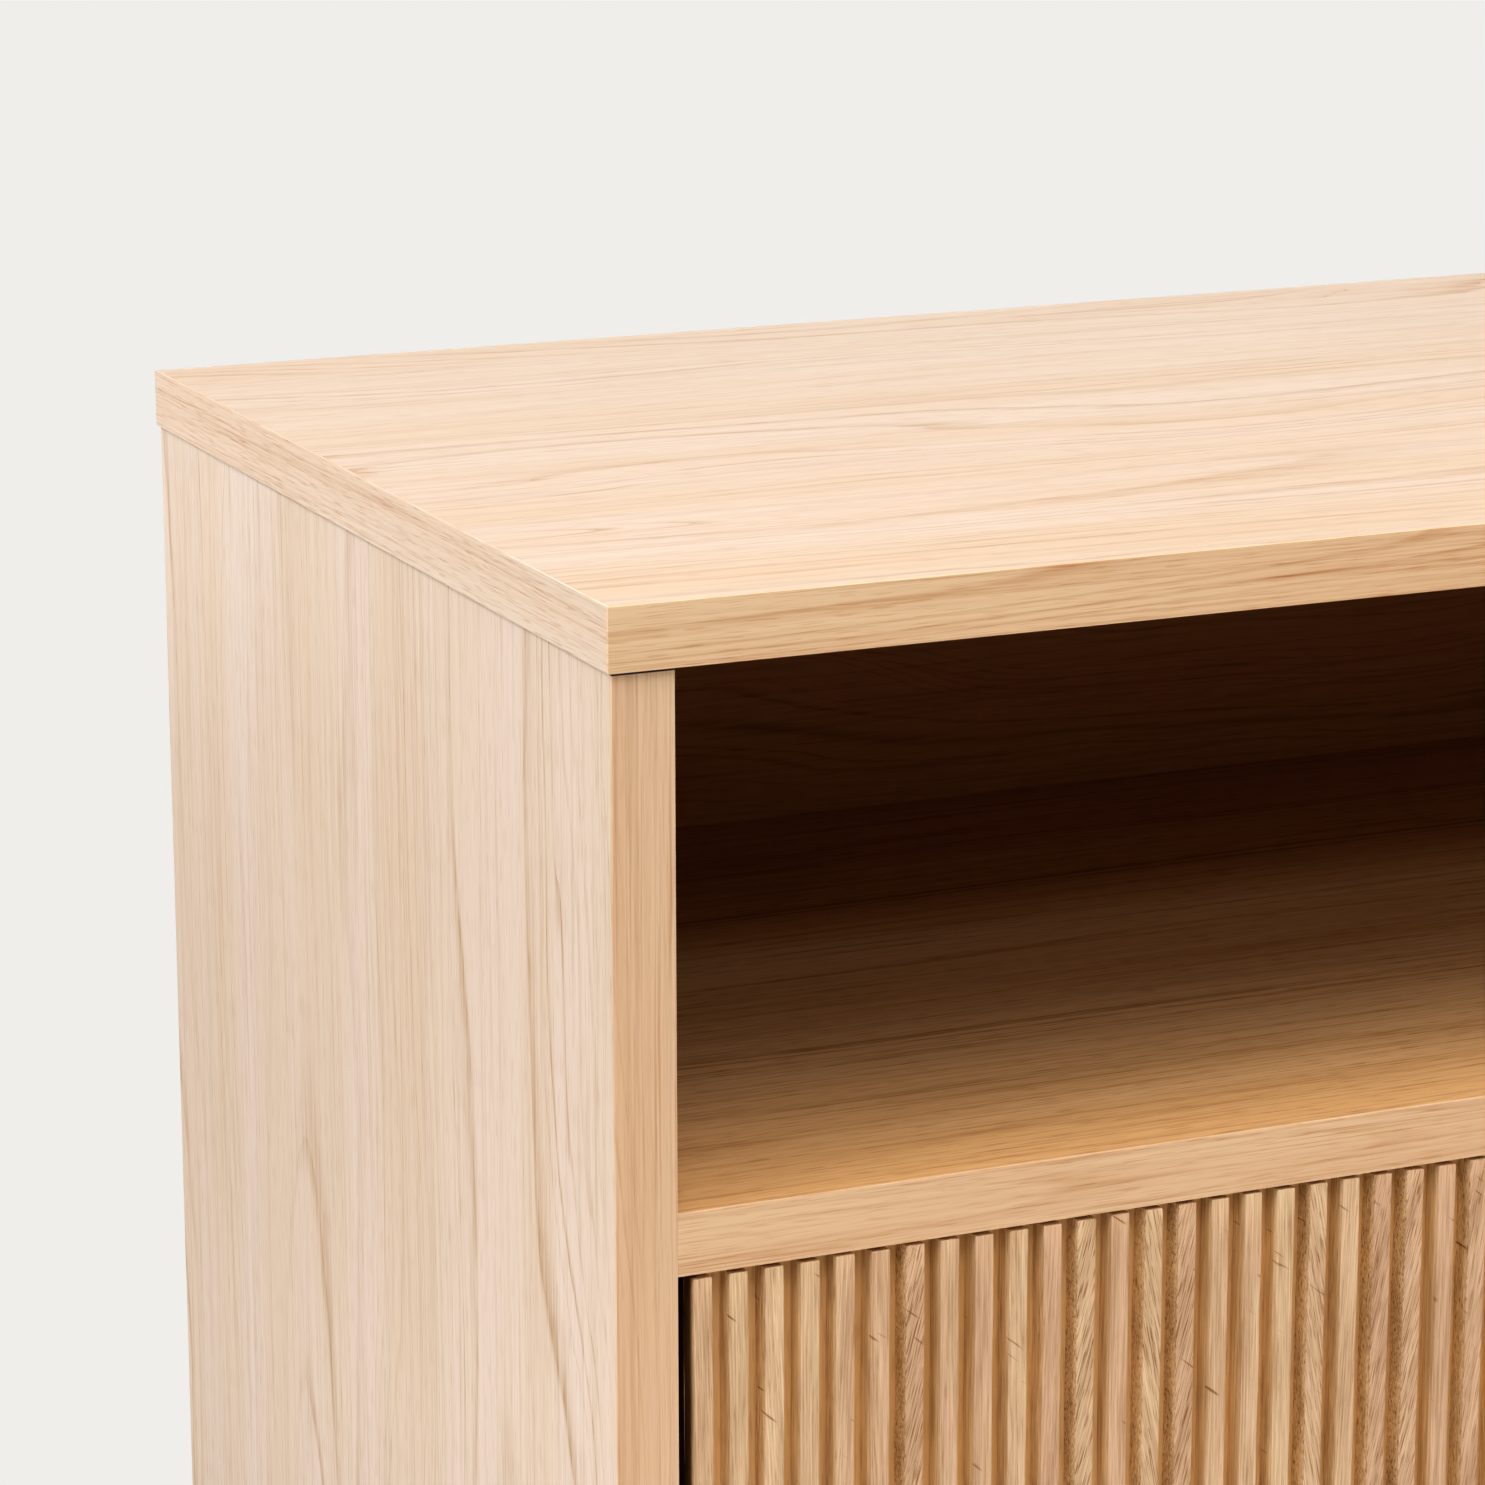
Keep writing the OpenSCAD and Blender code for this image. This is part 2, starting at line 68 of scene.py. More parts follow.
def linear(code):
    """Turn an sRGB hex code into the linear, opaque colour that a shader reads."""
    parts = [int(code[i : i + 2], 16) / 255 for i in (0, 2, 4)]
    return (
        *(c / 12.92 if c <= 0.04045 else ((c + 0.055) / 1.055) ** 2.4 for c in parts),
        1.0,
    )


def add(tree, kind, inputs=(), **settings):
    """Add one node, give it its settings, and fill its inputs, in order or by name.

    A value that is a node stands for its first output.
    """
    node = tree.nodes.new("ShaderNode" + kind)
    for name, value in settings.items():
        setattr(node, name, value)
    pairs = inputs.items() if isinstance(inputs, dict) else enumerate(inputs)
    for key, value in pairs:
        if isinstance(key, str):
            socket = next(s for s in node.inputs if s.enabled and s.name == key)
        else:
            socket = node.inputs[key]
        if isinstance(value, bpy.types.Node):
            value = next(s for s in value.outputs if s.enabled)
        if isinstance(value, bpy.types.NodeSocket):
            tree.links.new(value, socket)
        else:
            socket.default_value = value
    return node


def new_material(name):
    """Start a material with an empty node tree."""
    material = bpy.data.materials.new(name)
    material.use_nodes = True
    material.node_tree.nodes.clear()
    return material, material.node_tree


def close_material(tree, inputs, height, relief):
    """End a material in one Principled shader, with a relief of that many millimetres."""
    bump = add(tree, "Bump", {"Height": height, "Distance": relief * MM, "Strength": 1.0})
    shader = add(tree, "BsdfPrincipled", {**inputs, "Normal": bump})
    add(tree, "OutputMaterial", {"Surface": shader})


def place_in_mm(tree, order="XYZ"):
    """The place on the object in millimetres: along the grain, across it and through it.

    order says which of the object's axes those three are.
    """
    place = add(tree, "TexCoord").outputs["Object"]
    place = add(tree, "VectorMath", (place, (1000, 1000, 1000)), operation="MULTIPLY")
    split = add(tree, "SeparateXYZ", (place,))
    return add(tree, "CombineXYZ", [split.outputs[axis] for axis in order])


# Oak is a ring-porous wood. Each year's ring starts with a row of open pores, which reads as a
# darker line, and ends in dense pale wood. Cut flat, the rings draw long pointed arches; cut
# towards the heart of the log, they draw straight lines. Each row of the two tables is a name,
# a size along the grain and across it in millimetres, and a depth of detail. Real pores are
# 0.1 to 0.3 mm wide and are drawn wider, by a cut's own "coarse", so that they show.
BROAD_NOISES = (
    ("drift", 420.0, 110.0, 1.0),
    ("waver", 130.0, 20.0, 2.0),
    ("bow", 300.0, 900.0, 1.0),
    ("tone", 700.0, 38.0, 2.0),
    ("band", 900.0, 26.0, 1.0),
)
FINE_NOISES = (
    ("streak", 240.0, 2.6, 2.0),
    ("fibre", 70.0, 0.7, 2.0),
    ("break", 24.0, 0.9, 1.0),
    ("pore", 11.0, 0.4, 0.0),
)
# The values of a noise between which its mark goes from least to full, and that least.
MARK_RANGES = {
    "tone": (0.36, 0.64, 0.0),
    "band": (0.4, 0.6, 0.25),
    "streak": (0.4, 0.62, 0.2),
    "fibre": (0.42, 0.66, 0.0),
    "break": (0.36, 0.6, 0.4),
    "pore": (0.6, 0.7, 0.0),
}
# Rings differ in width: a change takes about RING_SPAN rings and moves a ring by up to
# RING_DRIFT widths. The rows of the weakest years are WEAKEST as dark as the strongest, and a
# row begins sharply in the last part of the year before it, from ROW_START on.
RING_SPAN = 1 / 0.35
RING_DRIFT = 5
WEAKEST = 0.1
ROW_START = 0.92


# Steps that keep the noises of one material apart, in periods of the noise, and how far one
# seed shifts the rings, in millimetres.
NOISE_STEP = (7.3, 3.1)
SEED_SHIFT = 13.7


def oak_figure(tree, place, cut):
    """The oak's rows of pores, fibres and loose pores, and its broad tone, each from 0 to 1."""
    soft = {}
    rows = [*BROAD_NOISES]
    rows += [(name, x, y * cut["coarse"], deep) for name, x, y, deep in FINE_NOISES]
    for number, (name, along, across, detail) in enumerate(rows):
        spot = add(
            tree,
            "Mapping",
            {
                "Vector": place,
                "Location": (
                    cut["seed"],
                    NOISE_STEP[0] * number + cut["seed"],
                    NOISE_STEP[1] * number,
                ),
                "Scale": (1 / along, 1 / across, 1 / across),
            },
        )
        soft[name] = add(
            tree, "TexNoise", {"Vector": spot, "Scale": 1.0, "Detail": detail}
        )
    split = add(tree, "SeparateXYZ", (place,))
    side = split.outputs["Y"]
    for stray in ("drift", "waver"):
        side = add(
            tree, "Math", (soft[stray], cut[stray], side), operation="MULTIPLY_ADD"
        )
    side = add(tree, "Math", (side, cut["seed"] * SEED_SHIFT), operation="ADD")
    side = add(tree, "Math", (side, cut["leaf"] / 2), operation="PINGPONG")
    depth = add(
        tree,
        "Math",
        (split.outputs["X"], cut["slope"], cut["height"]),
        operation="MULTIPLY_ADD",
    )
    depth = add(
        tree, "Math", (soft["bow"], cut["bow"], depth), operation="MULTIPLY_ADD"
    )
    both = add(tree, "CombineXYZ", (side, depth))
    radius = add(tree, "VectorMath", (both,), operation="LENGTH").outputs["Value"]
    uneven = add(
        tree,
        "TexNoise",
        {"W": radius, "Scale": 1 / (RING_SPAN * cut["ring"]), "Detail": 1.0},
        noise_dimensions="1D",
    )
    radius = add(
        tree, "Math", (uneven, cut["ring"] * RING_DRIFT, radius), operation="MULTIPLY_ADD"
    )
    year = add(tree, "Math", (radius, cut["ring"]), operation="DIVIDE")
    share = add(tree, "Math", (year,), operation="FRACT")
    number = add(tree, "Math", (year,), operation="FLOOR")
    strong = add(tree, "TexWhiteNoise", {"W": number}, noise_dimensions="1D")
    fall = add(
        tree,
        "MapRange",
        {"Value": share, "From Max": cut["row"], "To Min": 1.0, "To Max": 0.0},
        interpolation_type="SMOOTHSTEP",
    )
    rise = add(tree, "MapRange", {"Value": share, "From Min": ROW_START})
    row = add(tree, "Math", (fall, rise), operation="MAXIMUM")
    weight = add(
        tree,
        "MapRange",
        {"Value": strong.outputs["Value"], "From Min": WEAKEST, "To Min": WEAKEST},
    )
    mark = {
        name: add(
            tree,
            "MapRange",
            {"Value": soft[name], "From Min": low, "From Max": high, "To Min": least},
        )
        for name, (low, high, least) in MARK_RANGES.items()
    }
    for factor in (weight, mark["break"], mark["band"]):
        row = add(tree, "Math", (row, factor), operation="MULTIPLY")
    fibre = add(tree, "Math", (mark["fibre"], mark["streak"]), operation="MULTIPLY")
    return row, fibre, mark["pore"], mark["tone"]


# How a veneer was cut, in millimetres: ring is a year's growth, leaf the distance between two
# arches, height the distance of the cut from the heart, slope and bow how that distance
# changes, and drift and waver how far the lines stray. row is the share of a ring that its
# pores take, and coarse is how many times wider the fibres and pores are drawn.
ARCHED = {
    "seed": 1.0, "ring": 4.4, "leaf": 170.0, "height": 22.0, "slope": 0.035,
    "bow": 40.0, "drift": 120.0, "waver": 11.0, "row": 0.36, "coarse": 1.5,
}
STRAIGHT = {
    "seed": 1.0, "ring": 4.2, "leaf": 900.0, "height": 90.0, "slope": 0.01,
    "bow": 10.0, "drift": 60.0, "waver": 8.0, "row": 0.45, "coarse": 2.2,
}
STRIP = {
    "seed": 1.0, "ring": 2.2, "leaf": 60.0, "height": 20.0, "slope": 0.02,
    "bow": 12.0, "drift": 14.0, "waver": 3.0, "row": 0.4, "coarse": 1.0,
}


# How much rougher the open pores of a lacquered board are than the wood between them, and the
# refractive index of lacquer and oil.
PORE_ROUGHNESS = 0.15
FINISH_IOR = 1.5


def oak(name, order, cut, hues, weights, roughness=0.42, sheen=0.5, relief=0.02):
    """Oak under a matt lacquer: pale wood, darker rows of pores and a broad warm drift.

    hues are the pale wood, the warm wood and the lines. weights are how much the rows of
    pores, the fibres and the loose pores darken the wood.
    """
    material, tree = new_material(name)
    *marks, tone = oak_figure(tree, place_in_mm(tree, order), cut)
    dark = 0.0
    for mark, weight in zip(marks, weights):
        dark = add(tree, "Math", (mark, weight, dark), operation="MULTIPLY_ADD")
    pale, warm, line = (linear(hue) for hue in hues)
    ground = add(
        tree, "Mix", {"Factor": tone, "A": pale, "B": warm}, data_type="RGBA"
    )
    colour = add(
        tree, "Mix", {"Factor": dark, "A": ground, "B": line}, data_type="RGBA"
    )
    gloss = add(
        tree,
        "MapRange",
        {"Value": dark, "To Min": roughness, "To Max": roughness + PORE_ROUGHNESS},
    )
    filled = add(tree, "Math", (1.0, dark), operation="SUBTRACT")
    close_material(
        tree,
        {
            "Base Color": colour,
            "Roughness": gloss,
            "IOR": FINISH_IOR,
            "Specular IOR Level": sheen,
        },
        filled,
        relief,
    )
    return material


# Each row is a name, a size along the slat and across it in millimetres, a depth of detail,
# the values between which the mark goes from none to full, and how much it darkens the wood.
SLAT_NOISES = (
    ("fibre", 26.0, 0.5, 2.0, 0.36, 0.66, 0.38),
    ("pore", 6.5, 0.32, 0.0, 0.58, 0.68, 0.6),
    ("patch", 40.0, 5.0, 1.0, 0.35, 0.7, 0.28),
    ("tick", 1.5, 9.0, 0.0, 0.81, 0.88, 0.6),
)
# The length of log, in millimetres, that the slats are taken from, how steeply a ray crosses a
# slat, the lean of the grain at which its pores are cut fully open, and how much of a pore
# shows where the grain runs straight.
LOG_RUN = 900.0
RAY_LEAN = 0.8
OPEN_LEAN = 0.3
SHUT_PORE = 0.2
# Depths behind a slat's face, in millimetres, over which its flank turns to a paler colour,
# painted light that lifts the shade in the grooves, and over which a door's outermost flanks
# turn to the painted shade of the gap beside the door.
FLANK_LIGHT_DEPTHS = (0.4, 1.4)
GAP_SHADE_DEPTHS = (1.0, 3.0)
# Sawn oak: duller than lacquered veneer, and with deeper pores, in millimetres.
SAWN_ROUGHNESS = 0.55
SAWN_RELIEF = 0.06


def slat_oak(name, front, hues):
    """Solid rustic oak, sawn and oiled: every slat has its own tone and its own run of grain.

    Where the grain leans across a slat, its pores are cut short and show as slanted dashes,
    and now and then a ray crosses the slat as a thin dark tick. Behind the faces, which lie at
    front in millimetres, the flanks are painted paler, painted light that lifts the shade in the
    grooves, and a door's outermost flanks are painted dark, painted shade of the gap beside it.
    hues are the pale slats, the dark slats, the lines, the flanks' painted light and the
    painted shade.
    """
    material, tree = new_material(name)
    own = {
        key: add(tree, "Attribute", attribute_name=key).outputs["Fac"]
        for key in ("slat_tone", "slat_slant", "slat_shift", "door_gap_shade")
    }
    pale, grey, line, groove_light, gap_shade = (linear(hue) for hue in hues)
    split = add(tree, "SeparateXYZ", (place_in_mm(tree, "ZXY"),))
    along = add(
        tree,
        "Math",
        (own["slat_shift"], LOG_RUN, split.outputs["X"]),
        operation="MULTIPLY_ADD",
    )
    leaning = add(
        tree,
        "Math",
        (along, own["slat_slant"], split.outputs["Y"]),
        operation="MULTIPLY_ADD",
    )
    crossing = add(
        tree, "Math", (split.outputs["Y"], RAY_LEAN, along), operation="MULTIPLY_ADD"
    )
    grain = add(tree, "CombineXYZ", (along, leaning, split.outputs["Z"]))
    ray = add(tree, "CombineXYZ", (crossing, leaning, split.outputs["Z"]))
    marks = {}
    for number, row in enumerate(SLAT_NOISES):
        key, length, width, detail, low, high, _ = row
        spot = add(
            tree,
            "Mapping",
            {
                "Vector": ray if key == "tick" else grain,
                "Location": (4.0, NOISE_STEP[0] * number, NOISE_STEP[1] * number),
                "Scale": (1 / length, 1 / width, 1 / width),
            },
        )
        noise = add(tree, "TexNoise", {"Vector": spot, "Scale": 1.0, "Detail": detail})
        marks[key] = add(
            tree, "MapRange", {"Value": noise, "From Min": low, "From Max": high}
        )
    slant = add(tree, "Math", (own["slat_slant"],), operation="ABSOLUTE")
    open_pores = add(
        tree, "MapRange", {"Value": slant, "From Max": OPEN_LEAN, "To Min": SHUT_PORE}
    )
    marks["pore"] = add(
        tree, "Math", (marks["pore"], open_pores), operation="MULTIPLY"
    )
    dark = 0.0
    for key, *_, weight in SLAT_NOISES:
        dark = add(tree, "Math", (marks[key], weight, dark), operation="MULTIPLY_ADD")
    ground = add(
        tree,
        "Mix",
        {"Factor": own["slat_tone"], "A": pale, "B": grey},
        data_type="RGBA",
    )
    # Behind the face the flanks are painted paler, painted light that lifts the shade in the
    # grooves, and a door's outermost flanks are painted dark, painted shade of the gap beside the
    # door.
    lifted_flank, in_gap_shade = (
        add(
            tree,
            "MapRange",
            {
                "Value": split.outputs["Z"],
                "From Min": front + near,
                "From Max": front + far,
            },
        )
        for near, far in (FLANK_LIGHT_DEPTHS, GAP_SHADE_DEPTHS)
    )
    ground = add(
        tree, "Mix", {"Factor": lifted_flank, "A": ground, "B": groove_light}, data_type="RGBA"
    )
    in_gap_shade = add(tree, "Math", (in_gap_shade, own["door_gap_shade"]), operation="MULTIPLY")
    ground = add(
        tree, "Mix", {"Factor": in_gap_shade, "A": ground, "B": gap_shade}, data_type="RGBA"
    )
    colour = add(
        tree, "Mix", {"Factor": dark, "A": ground, "B": line}, data_type="RGBA"
    )
    filled = add(tree, "Math", (1.0, dark), operation="SUBTRACT")
    close_material(
        tree,
        {"Base Color": colour, "Roughness": SAWN_ROUGHNESS, "IOR": FINISH_IOR},
        filled,
        SAWN_RELIEF,
    )
    return material


def cover(material, share, colour):
    """Lay a colour over a material's own, as much as share says, and return its own."""
    tree = material.node_tree
    shader = next(n for n in tree.nodes if n.bl_idname == "ShaderNodeBsdfPrincipled")
    own = shader.inputs["Base Color"].links[0].from_socket
    both = add(tree, "Mix", {"Factor": share, "A": own, "B": colour}, data_type="RGBA")
    tree.links.new(both.outputs["Result"], shader.inputs["Base Color"])
    return own


def dress(names, material):
    """Give CAD nodes a material."""
    for name in names:
        slots = NODES[name].material_slots
        if not slots:
            NODES[name].data.materials.append(material)
        for one in slots:
            one.material = material


# Points of a CAD mesh that lie this close are joined first, in metres, and an edge counts as
# sharp from this many degrees on: first on the CAD nodes, then on the slats.
WELD_REACH = 0.002 * MM
SHARP_EDGE = 40
SHARP_SLAT_EDGE = 45


def ease(context, names):
    """Break the sharp edges of CAD nodes with a small round."""
    for name in names:
        node = NODES[name]
        weld = node.modifiers.new("join", "WELD")
        weld.merge_threshold = WELD_REACH
        bevel = node.modifiers.new("eased edge", "BEVEL")
        bevel.width = context.scene.cabinet_sizes.board_edge
        bevel.segments = 2
        bevel.limit_method = "ANGLE"
        bevel.angle_limit = math.radians(SHARP_EDGE)
        bevel.harden_normals = True


class CabinetSizes(PropertyGroup):
    """Sizes that a user may change, in metres."""

    board_edge: FloatProperty(
        name="Board edge", description="Round on the boards' edges", default=0.00012,
        min=0.0001, max=0.002, unit="LENGTH", precision=5,
    )
    slat_count: IntProperty(
        name="Slats", description="Slats on one door", default=36, min=2, max=60
    )
    slat_width: FloatProperty(
        name="Slat width", description="Width of a slat's face", default=0.00575,
        min=0.002, max=0.01, unit="LENGTH", precision=5,
    )
    slat_edge: FloatProperty(
        name="Slat edge", description="Round on a slat's front edges", default=0.00028,
        min=0.0001, max=0.002, unit="LENGTH", precision=5,
    )
    slat_waver: FloatProperty(
        name="Slat waver", description="How far a sawn edge strays from straight",
        default=0.00016, min=0.0, max=0.0006, unit="LENGTH", precision=5,
    )


class CabinetColours(PropertyGroup):
    """Colours that a user may change."""

    wall: FloatVectorProperty(
        name="Floor", description="Studio floor and background", subtype="COLOR",
        default=linear("cecdcb")[:3], min=0, max=1,
    )


# Pale wood, warm wood and lines of each kind of oak surface. The top, the side boards and the
# strips on the top's ends are painted paler and greyer than the strips that face the front,
# though all are the same oak: a painted reflection of the pale surroundings on faces seen at a
# slant. The slats have pale and dark slats, lines, a paler colour for their flanks, which is
# painted light in the grooves, and the painted shade of the gaps beside the doors.
TOP_HUES = ("c1afa0", "bea892", "a68769")
SIDE_HUES = ("cfbeb2", "cbb7a4", "ad9071")
STRIP_HUES = ("ddc0a2", "d7b290", "b17f52")
LYING_STRIP_HUES = ("e1c5a4", "dab692", "b67e4c")
END_HUES = ("cfc0b0", "ccb49e", "ab805c")
SHELF_HUES = ("d2ae85", "cca375", "a37a4f")
BACK_HUES = ("e4be90", "dcb281", "b08553")
PLINTH_HUES = ("dcb084", "d5a474", "a97b4e")
# The door boards between the slats are painted this pale: painted light that lifts the shade in the
# grooves.
BROWN_HUES = ("f6d3a0", "eec891", "c99c68")
# The dark brown of the painted shade in the gaps beside the doors, and the dark of the joint
# under the top, painted shadow under the top's overhang.
GAP_SHADE = "4f321a"
JOINT_SHADE = "2a1a0e"
# The joint under the top is drawn as a dark line, partly the joint and partly painted shadow
# under the top's overhang, that sets in over these depths below the top, in millimetres. It is
# drawn wider than a real hairline, because the top stands out over it and hides its upper part.
JOINT_DEPTHS = (0.95, 0.75)
SLAT_HUES = ("e4c7a4", "d9b597", "94693f", "f8ddb2", GAP_SHADE)


class CABINET_OT_top(Operator):
    """Finish the top board and its edge strips"""

    bl_idname = "cabinet.top"
    bl_label = "Top"

    def execute(self, context):
        # Flat-cut oak veneer under a matt lacquer: long arches along the cabinet. Its colour is
        # painted paler and greyer, a painted reflection of the pale surroundings.
        cut = {
            **ARCHED, "seed": 2.0, "ring": 6.0, "leaf": 190.0, "slope": 0.03, "coarse": 2.2,
        }
        veneer = oak("oak_veneer_top", "XYZ", cut, TOP_HUES, (0.9, 0.3, 0.2))
        dress(["top_panel"], veneer)
        # Strips of the same oak, ironed on, with close short lines: warmer than the boards, which
        # are painted paler and greyer as a painted reflection that these front faces lack.
        cut = {**STRIP, "seed": 3.0}
        strip = oak(
            "oak_edge_strip_lying", "XZY", cut, LYING_STRIP_HUES, (0.7, 0.5, 0.25)
        )
        dress(["top_front_edge", "middle_shelf_edge", "bottom_panel_edge"], strip)
        # The strips on the ends of the top: plainer, and painted paler like the side boards, as a
        # painted reflection of the pale surroundings on faces seen at a slant.
        cut = {**STRIP, "seed": 5.0}
        ends = oak("oak_edge_strip_ends", "YZX", cut, END_HUES, (0.3, 0.4, 0.4))
        dress(["top_left_edge", "top_right_edge"], ends)
        ease(
            context,
            ["top_panel", "top_front_edge", "top_left_edge", "top_right_edge"],
        )
        return {"FINISHED"}


class CABINET_OT_sides(Operator):
    """Finish the two side boards and the upright edge strips"""

    bl_idname = "cabinet.sides"
    bl_label = "Sides"

    def execute(self, context):
        # The same veneer stood upright, with arches that climb and many thin lines, painted paler
        # with the same painted reflection as the top.
        cut = {**ARCHED, "seed": 4.0, "leaf": 175.0, "slope": 0.04}
        veneer = oak("oak_veneer_upright", "ZYX", cut, SIDE_HUES, (1.15, 0.4, 0.25))
        boards = ["left_side_panel", "right_side_panel"]
        dress(boards, veneer)
        # Edge strip with the grain upright: a warm band beside the side boards, which are painted
        # paler as a painted reflection.
        cut = {**STRIP, "seed": 6.0}
        strip = oak(
            "oak_edge_strip_upright", "ZXY", cut, STRIP_HUES, (0.35, 0.5, 0.12)
        )
        # Under the top, the strip darkens into a line: the joint, with painted shadow under the
        # overhang.
        tree = strip.node_tree
        height = add(tree, "SeparateXYZ", (place_in_mm(tree),)).outputs["Z"]
        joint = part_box("left_side_edge")[1][2] / MM
        low, high = (joint - depth for depth in JOINT_DEPTHS)
        near = add(
            tree, "MapRange", {"Value": height, "From Min": low, "From Max": high}
        )
        cover(strip, near, linear(JOINT_SHADE))
        strips = [
            "left_side_edge",
            "right_side_edge",
            "upper_divider_edge",
            "lower_divider_edge",
        ]
        dress(strips, strip)
        ease(context, boards + strips)
        return {"FINISHED"}


class CABINET_OT_shelves(Operator):
    """Finish the shelf, the bottom board and the dividers"""

    bl_idname = "cabinet.shelves"
    bl_label = "Shelf, bottom and dividers"

    def execute(self, context):
        # Straight-grained veneer: calm fine lines that turn honey brown in the shade.
        cut = {**STRAIGHT, "seed": 8.0, "ring": 3.2, "coarse": 1.5}
        lying = oak(
            "oak_veneer_lying", "XYZ", cut, SHELF_HUES, (1.1, 0.6, 0.4), sheen=0.3
        )
        flat = ["middle_shelf", "bottom_panel"]
        dress(flat, lying)
        cut = {**STRAIGHT, "seed": 9.0}
        standing = oak(
            "oak_veneer_divider", "ZYX", cut, SHELF_HUES, (1.1, 0.6, 0.4), sheen=0.3
        )
        dividers = ["upper_divider", "lower_divider"]
        dress(dividers, standing)
        ease(
            context,
            [*flat, *dividers, "middle_shelf_edge", "bottom_panel_edge"],
        )
        return {"FINISHED"}


class CABINET_OT_back(Operator):
    """Finish the back panels and the batten over their joint"""

    bl_idname = "cabinet.back"
    bl_label = "Back"

    def execute(self, context):
        # Veneered fibreboard: wide faint arches and less gloss than the boards.
        cut = {**ARCHED, "seed": 11.0, "height": 60.0, "leaf": 260.0}
        veneer = oak(
            "oak_veneer_back",
            "XZY",
            cut,
            BACK_HUES,
            (0.8, 0.4, 0.15),
            roughness=0.5,
            sheen=0.3,
        )
        dress(["left_back_panel", "right_back_panel"], veneer)
        # A planed oak batten: close upright lines, a little deeper than the back.
        cut = {**STRIP, "seed": 12.0}
        batten = oak(
            "oak_batten", "ZXY", cut, PLINTH_HUES, (0.4, 0.3, 0.15), roughness=0.5
        )
        dress(["back_batten"], batten)
        return {"FINISHED"}


class CABINET_OT_plinth(Operator):
    """Finish the plinth boards"""

    bl_idname = "cabinet.plinth"
    bl_label = "Plinth"

    def execute(self, context):
        # Straight-grained veneer under a matt lacquer, with quiet long lines.
        cut = {**STRAIGHT, "seed": 14.0}
        weights = (0.4, 0.3, 0.15)
        long = oak("oak_veneer_plinth", "XZY", cut, PLINTH_HUES, weights)
        cross = oak("oak_veneer_stretcher", "YZX", cut, PLINTH_HUES, weights)
        dress(["front_plinth", "rear_plinth"], long)
        dress(["plinth_stretcher"], cross)
        ease(context, ["front_plinth", "rear_plinth", "plinth_stretcher"])
        return {"FINISHED"}


# A door board's front face, where its normal's Y is below the first of these, is painted paler:
# painted light that lifts the shade between the slats. Where that Y is above the second, the
# face has the board's own colour: the painted one with its hue shifted, where 0.5 is no shift,
# and its saturation and value scaled.
LIT_FRONT_FACE = -0.9
PLAIN_FACE = -0.8
PLAIN_SHIFT = {"Hue": 0.478, "Saturation": 0.72, "Value": 0.76}


class CABINET_OT_door_boards(Operator):
    """Finish the boards behind the slats"""

    bl_idname = "cabinet.door_boards"
    bl_label = "Door boards"

    def execute(self, context):
        # Oak veneer, painted golden between the slats, painted light that lifts the shade in the
        # grooves; its other faces have its own colour, redder, greyer and darker. Its outer edges
        # are painted dark, painted shade of the gaps beside the doors.
        cut = {**STRAIGHT, "seed": 17.0}
        brown = oak(
            "brown_oak_door_board",
            "ZXY",
            cut,
            BROWN_HUES,
            (0.3, 0.35, 0.25),
            roughness=0.55,
            sheen=0.3,
        )
        tree = brown.node_tree
        facing = add(tree, "SeparateXYZ", (add(tree, "TexCoord").outputs["Normal"],))
        away = add(
            tree,
            "MapRange",
            {"Value": facing.outputs["Y"], "From Min": LIT_FRONT_FACE, "From Max": PLAIN_FACE},
        )
        plain_brown = add(tree, "HueSaturation", PLAIN_SHIFT)
        groove_light = cover(brown, away, plain_brown)
        tree.links.new(groove_light, plain_brown.inputs["Color"])
        # The board's side faces are painted dark: painted shade of the gaps beside the doors.
        edge = add(tree, "Math", (facing.outputs["X"],), operation="ABSOLUTE")
        cover(brown, edge, linear(GAP_SHADE))
        names = [f"door_{door}_board" for door in DOORS]
        dress(names, brown)
        ease(context, names)
        return {"FINISHED"}


# The seeds of the four doors' slats follow this one.
SLAT_SEED = 40
# How the grain leans on a slat: millimetres across for each millimetre along it. Most slats are
# cut nearly with the grain, and some lean enough to show short slanted pores.
SLAT_SLANTS = (0.0, 0.0, 0.02, 0.03, -0.04, 0.05, -0.2, -0.26, -0.16, 0.2)
# A saw's waver along a slat: one wave in radians, its shortest and longest length in metres,
# and the steps along a slat that carry it.
WAVE = 6.28
WAVE_LENGTHS = (0.03, 0.08)
SLAT_STEPS = 24
# Waves of a slat: those of its left edge, its right edge and its face, and one to spare.
SLAT_WAVES = 4
# The most by which a slat ends short of its place, below and above, in metres.
SHORT_BELOW = 0.0004
SHORT_ABOVE = 0.0005
# The shares of the waver by which a slat's edges and its face sway to either side.
EDGE_SWAY = 0.5
FACE_SWAY = 0.3
# The facets of a rounded edge, and the share of its round by which a slat's ends draw in.
SLAT_CORNERS = 3
END_PULL = 0.4


def slat_heights(start, stop, edge):
    """The heights of a slat's cross-sections: even steps, with one more near either end."""
    length = stop - start - 2 * edge
    inner = [start + edge + length * i / SLAT_STEPS for i in range(1, SLAT_STEPS)]
    return [start, start + edge, *inner, stop - edge, stop]


def slat_outline(x0, x1, y0, back, edge):
    """A slat's cross-section: square at the back, with two rounded front edges."""
    turns = [math.pi / 2 * corner / SLAT_CORNERS for corner in range(SLAT_CORNERS + 1)]
    left = [
        (x0 + edge * (1 - math.cos(a)), y0 + edge * (1 - math.sin(a))) for a in turns
    ]
    right = [
        (x1 - edge * (1 - math.sin(a)), y0 + edge * (1 - math.cos(a))) for a in turns
    ]
    return [(x0, back), *left, *right, (x1, back)]


